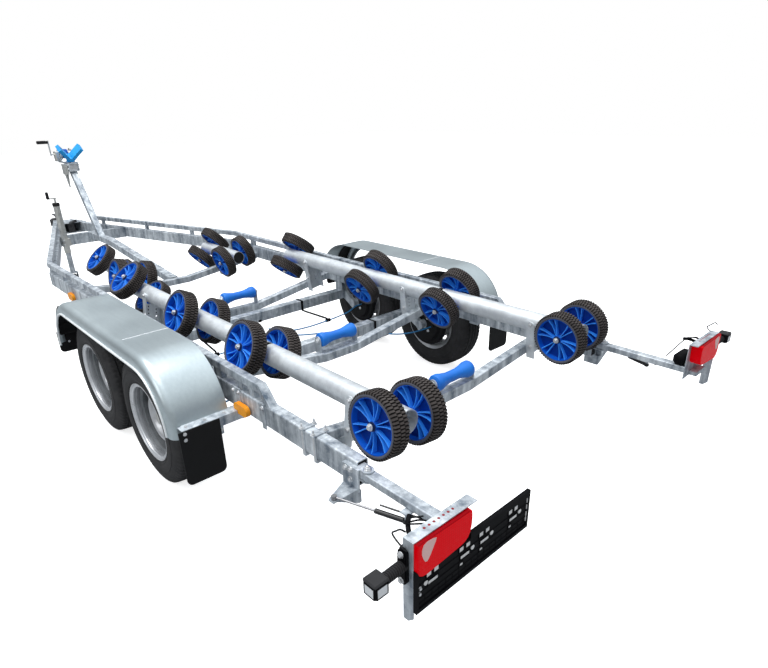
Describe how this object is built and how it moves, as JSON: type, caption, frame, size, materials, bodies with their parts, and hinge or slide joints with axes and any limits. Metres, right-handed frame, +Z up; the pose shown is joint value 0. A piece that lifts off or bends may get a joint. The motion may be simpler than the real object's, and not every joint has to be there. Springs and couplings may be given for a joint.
{
  "type": "tandem-axle boat trailer",
  "caption": "Tandem-axle boat trailer with a converging galvanised frame, twin hull rollers, keel rollers, winch post, jack, mudguards and swing-out lamp arms.",
  "frame": {"origin": "on the ground, in the middle of the whole length and width", "axes": "+X forward towards the coupling, +Y to the left, +Z up"},
  "size_m": [7.125, 2.38, 1.457],
  "materials": {
    "galvanised": "hot-dip galvanised, dull spangle",
    "zinc": "bright zinc plate",
    "guard_sheet": "smooth galvanised sheet",
    "coupling_paint": "black, satin",
    "bow_stop_blue": "cast blue polyurethane",
    "flap_rubber": "matt black",
    "amber": "amber lens",
    "cable_blue": "blue sheath",
    "lamp_red": "red lens",
    "black_plastic": "moulded black",
    "strut_black": "gloss black",
    "tyre": "new rubber",
    "wheel_silver": "silver paint",
    "roller_rubber": "black rubber tread on a blue hub",
    "keel_blue": "cast blue polyurethane"
  },
  "bodies": {
    "chassis": {"left_side_beam": "galvanised", "right_side_beam": "galvanised", "upper_rails": "galvanised", "cross_tubes": "galvanised", "drawbar": "galvanised", "coupling": "coupling_paint", "winch_post": "galvanised", "winch_frame": "galvanised", "bow_stop": "bow_stop_blue", "jack_sleeve": "zinc", "guard_brackets": "galvanised", "mud_flaps": "flap_rubber", "side_markers": "amber", "brake_cables": "cable_blue", "front_axle": "galvanised", "rear_axle": "galvanised", "left_roller_rails": "galvanised", "right_roller_rails": "galvanised", "left_mudguard": "guard_sheet", "right_mudguard": "guard_sheet", "left_arm_hinge": "galvanised", "right_arm_hinge": "galvanised"},
    "left_front_wheel": {"left_front_tyre": "tyre", "left_front_rim": "wheel_silver"},
    "left_rear_wheel": {"left_rear_tyre": "tyre", "left_rear_rim": "wheel_silver"},
    "left_twin_roller_1": {"left_roller_1": "roller_rubber"},
    "left_twin_roller_2": {"left_roller_2": "roller_rubber"},
    "left_twin_roller_3": {"left_roller_3": "roller_rubber"},
    "left_twin_roller_4": {"left_roller_4": "roller_rubber"},
    "left_twin_roller_5": {"left_roller_5": "roller_rubber"},
    "left_twin_roller_6": {"left_roller_6": "roller_rubber"},
    "left_lamp_arm": {"left_light_arm": "galvanised", "left_lamp": "lamp_red", "left_marker_lamp": "black_plastic", "plate_holder": "black_plastic"},
    "left_strut_cylinder": {"left_strut_body": "strut_black"},
    "left_strut_piston": {"left_strut_rod": "zinc"},
    "right_front_wheel": {"right_front_tyre": "tyre", "right_front_rim": "wheel_silver"},
    "right_rear_wheel": {"right_rear_tyre": "tyre", "right_rear_rim": "wheel_silver"},
    "right_twin_roller_1": {"right_roller_1": "roller_rubber"},
    "right_twin_roller_2": {"right_roller_2": "roller_rubber"},
    "right_twin_roller_3": {"right_roller_3": "roller_rubber"},
    "right_twin_roller_4": {"right_roller_4": "roller_rubber"},
    "right_twin_roller_5": {"right_roller_5": "roller_rubber"},
    "right_twin_roller_6": {"right_roller_6": "roller_rubber"},
    "right_lamp_arm": {"right_light_arm": "galvanised", "right_lamp": "lamp_red", "right_marker_lamp": "black_plastic"},
    "right_strut_cylinder": {"right_strut_body": "strut_black"},
    "right_strut_piston": {"right_strut_rod": "zinc"},
    "keel_roller_body_1": {"keel_roller_1": "keel_blue"},
    "keel_roller_body_2": {"keel_roller_2": "keel_blue"},
    "keel_roller_body_3": {"keel_roller_3": "keel_blue"},
    "winch": {"winch_drum": "zinc"},
    "jack_tube": {"jack_leg": "galvanised"},
    "jockey_wheel": {"jack_wheel": "black_plastic"}
  },
  "joints": [
    {"name": "left_front_wheel_spin", "type": "hinge", "parent": "chassis", "child": "left_front_wheel", "pos_m": [-1.0815, 0.993, 0.325], "axis": [0, 1, 0], "continuous": true},
    {"name": "left_rear_wheel_spin", "type": "hinge", "parent": "chassis", "child": "left_rear_wheel", "pos_m": [-1.7935, 0.993, 0.325], "axis": [0, 1, 0], "continuous": true},
    {"name": "left_twin_roller_1_spin", "type": "hinge", "parent": "chassis", "child": "left_twin_roller_1", "pos_m": [-3.0345, 0.6, 0.655], "axis": [0, 0.9945, 0.1045], "continuous": true},
    {"name": "left_twin_roller_2_spin", "type": "hinge", "parent": "chassis", "child": "left_twin_roller_2", "pos_m": [-2.1265, 0.6, 0.655], "axis": [0, 0.9171, 0.3987], "continuous": true},
    {"name": "left_twin_roller_3_spin", "type": "hinge", "parent": "chassis", "child": "left_twin_roller_3", "pos_m": [-1.4565, 0.6, 0.655], "axis": [0, 0.8988, 0.4384], "continuous": true},
    {"name": "left_twin_roller_4_spin", "type": "hinge", "parent": "chassis", "child": "left_twin_roller_4", "pos_m": [-0.6765, 0.6, 0.655], "axis": [0, 0.6494, 0.7604], "continuous": true},
    {"name": "left_twin_roller_5_spin", "type": "hinge", "parent": "chassis", "child": "left_twin_roller_5", "pos_m": [-0.0525, 0.425, 0.585], "axis": [0, 0.9681, 0.2504], "continuous": true},
    {"name": "left_twin_roller_6_spin", "type": "hinge", "parent": "chassis", "child": "left_twin_roller_6", "pos_m": [0.3785, 0.425, 0.585], "axis": [0, 0.6947, 0.7193], "continuous": true},
    {"name": "left_lamp_arm_swing", "type": "hinge", "parent": "chassis", "child": "left_lamp_arm", "pos_m": [-3.0995, 0.808, 0.54], "axis": [0, 0, -1], "range_deg": [0, 35]},
    {"name": "left_strut_turn", "type": "hinge", "parent": "left_lamp_arm", "child": "left_strut_cylinder", "pos_m": [-3.3175, 0.842, 0.49], "axis": [0, 0, 1], "range_deg": [0, 7.57]},
    {"name": "left_strut_stroke", "type": "slide", "parent": "left_strut_cylinder", "child": "left_strut_piston", "axis": [0.9483, 0.3173, 0], "range_m": [-0.07072, 0]},
    {"name": "right_front_wheel_spin", "type": "hinge", "parent": "chassis", "child": "right_front_wheel", "pos_m": [-1.0815, -0.993, 0.325], "axis": [0, 1, 0], "continuous": true},
    {"name": "right_rear_wheel_spin", "type": "hinge", "parent": "chassis", "child": "right_rear_wheel", "pos_m": [-1.7935, -0.993, 0.325], "axis": [0, 1, 0], "continuous": true},
    {"name": "right_twin_roller_1_spin", "type": "hinge", "parent": "chassis", "child": "right_twin_roller_1", "pos_m": [-3.0235, -0.6, 0.655], "axis": [0, -0.9976, 0.0698], "continuous": true},
    {"name": "right_twin_roller_2_spin", "type": "hinge", "parent": "chassis", "child": "right_twin_roller_2", "pos_m": [-2.2305, -0.6, 0.655], "axis": [0, -0.9171, 0.3987], "continuous": true},
    {"name": "right_twin_roller_3_spin", "type": "hinge", "parent": "chassis", "child": "right_twin_roller_3", "pos_m": [-1.5435, -0.6, 0.655], "axis": [0, -0.8704, 0.4924], "continuous": true},
    {"name": "right_twin_roller_4_spin", "type": "hinge", "parent": "chassis", "child": "right_twin_roller_4", "pos_m": [-0.6295, -0.6, 0.655], "axis": [0, -0.6225, 0.7826], "continuous": true},
    {"name": "right_twin_roller_5_spin", "type": "hinge", "parent": "chassis", "child": "right_twin_roller_5", "pos_m": [-0.0185, -0.425, 0.585], "axis": [0, -0.9588, 0.284], "continuous": true},
    {"name": "right_twin_roller_6_spin", "type": "hinge", "parent": "chassis", "child": "right_twin_roller_6", "pos_m": [0.4215, -0.425, 0.585], "axis": [0, -0.7431, 0.6691], "continuous": true},
    {"name": "right_lamp_arm_swing", "type": "hinge", "parent": "chassis", "child": "right_lamp_arm", "pos_m": [-3.0995, -0.808, 0.54], "axis": [0, 0, 1], "range_deg": [0, 35]},
    {"name": "right_strut_turn", "type": "hinge", "parent": "right_lamp_arm", "child": "right_strut_cylinder", "pos_m": [-3.3175, -0.842, 0.49], "axis": [0, 0, -1], "range_deg": [0, 7.57]},
    {"name": "right_strut_stroke", "type": "slide", "parent": "right_strut_cylinder", "child": "right_strut_piston", "axis": [0.9483, -0.3173, 0], "range_m": [-0.07072, 0]},
    {"name": "keel_roller_1_spin", "type": "hinge", "parent": "chassis", "child": "keel_roller_body_1", "pos_m": [-0.8175, 0, 0.51], "axis": [0, 1, 0], "continuous": true},
    {"name": "keel_roller_2_spin", "type": "hinge", "parent": "chassis", "child": "keel_roller_body_2", "pos_m": [-1.9135, 0, 0.51], "axis": [0, 1, 0], "continuous": true},
    {"name": "keel_roller_3_spin", "type": "hinge", "parent": "chassis", "child": "keel_roller_body_3", "pos_m": [-2.7775, 0, 0.536], "axis": [0, 1, 0], "continuous": true},
    {"name": "winch_turn", "type": "hinge", "parent": "chassis", "child": "winch", "pos_m": [2.4675, 0, 1.325], "axis": [0, 1, 0], "continuous": true},
    {"name": "jack_lift", "type": "slide", "parent": "chassis", "child": "jack_tube", "axis": [0, 0, 1], "range_m": [0, 0.185]},
    {"name": "jockey_wheel_spin", "type": "hinge", "parent": "jack_tube", "child": "jockey_wheel", "pos_m": [2.0625, 0.3, 0.1], "axis": [0, 1, 0], "continuous": true}
  ],
  "couplings": [
    {"joint": "left_strut_turn", "follows": "left_lamp_arm_swing", "ratio": 0.202},
    {"joint": "left_strut_stroke", "follows": "left_lamp_arm_swing", "m_per_rad": -0.11495},
    {"joint": "right_strut_turn", "follows": "right_lamp_arm_swing", "ratio": 0.202},
    {"joint": "right_strut_stroke", "follows": "right_lamp_arm_swing", "m_per_rad": -0.11495}
  ]
}
